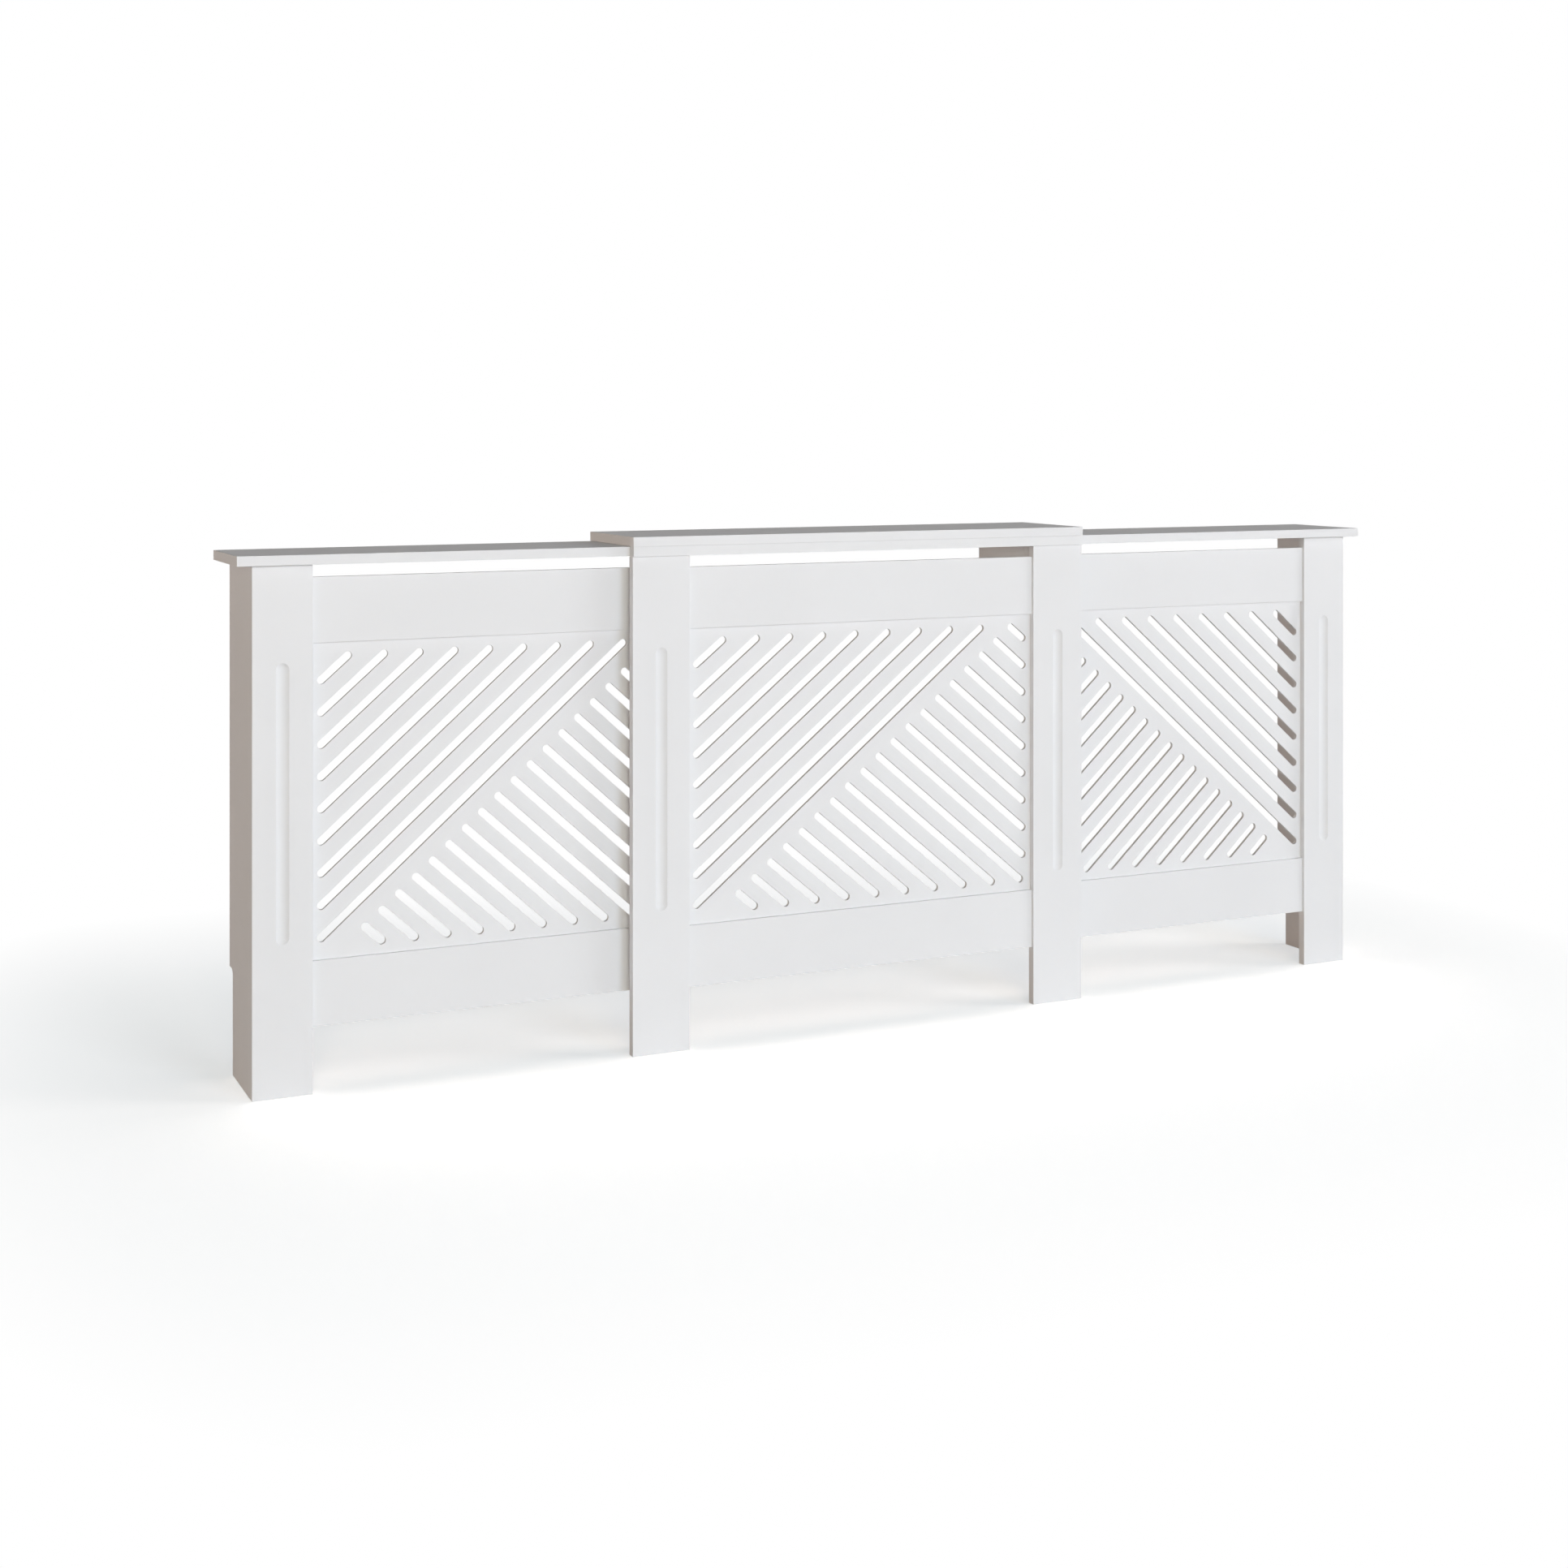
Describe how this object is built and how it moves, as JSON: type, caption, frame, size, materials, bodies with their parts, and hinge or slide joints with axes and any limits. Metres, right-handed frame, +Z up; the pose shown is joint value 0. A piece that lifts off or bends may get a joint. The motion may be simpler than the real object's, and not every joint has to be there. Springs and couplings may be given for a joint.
{
  "type": "radiator cover",
  "caption": "Extending radiator cover cabinet: a top board over a slotted front, and a slotted side unit with a shelf that slides out from each end.",
  "frame": {"origin": "on the floor, under the middle of the cover's box, with both side units drawn out", "axes": "+X along the wall to the right, +Y to the wall, +Z up"},
  "size_m": [2.062, 0.2, 0.82],
  "materials": {
    "painted_board": "white satin paint on medium-density fibreboard",
    "painted_grille": "white satin paint on a routed 6 mm fibreboard sheet",
    "raw_board": "planed softwood, unpainted",
    "beech_dowel": "plain fluted beech dowel",
    "bare_steel": "zinc-plated pressed steel"
  },
  "bodies": {
    "centre_unit": {"centre_top": "painted_board", "centre_apron": "painted_board", "centre_left_post": "painted_board", "centre_right_post": "painted_board", "centre_upper_rail": "painted_board", "centre_lower_rail": "painted_board", "centre_grille": "painted_grille", "centre_left_post_dowel_1": "beech_dowel", "centre_left_post_dowel_2": "beech_dowel", "centre_right_post_dowel_1": "beech_dowel", "centre_right_post_dowel_2": "beech_dowel", "centre_upper_left_rail_dowel_1": "beech_dowel", "centre_upper_left_rail_dowel_2": "beech_dowel", "centre_upper_right_rail_dowel_1": "beech_dowel", "centre_upper_right_rail_dowel_2": "beech_dowel", "centre_lower_left_rail_dowel_1": "beech_dowel", "centre_lower_left_rail_dowel_2": "beech_dowel", "centre_lower_right_rail_dowel_1": "beech_dowel", "centre_lower_right_rail_dowel_2": "beech_dowel"},
    "left_unit": {"left_shelf": "painted_board", "left_post": "painted_board", "left_side_panel": "painted_board", "left_upper_rail": "painted_board", "left_lower_rail": "painted_board", "left_grille": "painted_grille", "left_inner_stile": "painted_board", "left_inner_brace": "painted_board", "left_corner_batten": "raw_board", "left_shelf_dowel_front": "beech_dowel", "left_shelf_dowel_back": "beech_dowel", "left_upper_rail_dowel_1": "beech_dowel", "left_upper_rail_dowel_2": "beech_dowel", "left_upper_stile_dowel": "beech_dowel", "left_lower_rail_dowel_1": "beech_dowel", "left_lower_rail_dowel_2": "beech_dowel", "left_lower_stile_dowel": "beech_dowel", "left_wall_bracket": "bare_steel", "left_bracket_screw": "bare_steel"},
    "right_unit": {"right_shelf": "painted_board", "right_post": "painted_board", "right_side_panel": "painted_board", "right_upper_rail": "painted_board", "right_lower_rail": "painted_board", "right_grille": "painted_grille", "right_inner_stile": "painted_board", "right_inner_brace": "painted_board", "right_corner_batten": "raw_board", "right_shelf_dowel_front": "beech_dowel", "right_shelf_dowel_back": "beech_dowel", "right_upper_rail_dowel_1": "beech_dowel", "right_upper_rail_dowel_2": "beech_dowel", "right_upper_stile_dowel": "beech_dowel", "right_lower_rail_dowel_1": "beech_dowel", "right_lower_rail_dowel_2": "beech_dowel", "right_lower_stile_dowel": "beech_dowel", "right_wall_bracket": "bare_steel", "right_bracket_screw": "bare_steel"}
  },
  "joints": [
    {"name": "left_unit_slide", "type": "slide", "parent": "centre_unit", "child": "left_unit", "axis": [1, 0, 0], "range_m": [0, 0.32]},
    {"name": "right_unit_slide", "type": "slide", "parent": "centre_unit", "child": "right_unit", "axis": [-1, 0, 0], "range_m": [0, 0.32]}
  ]
}
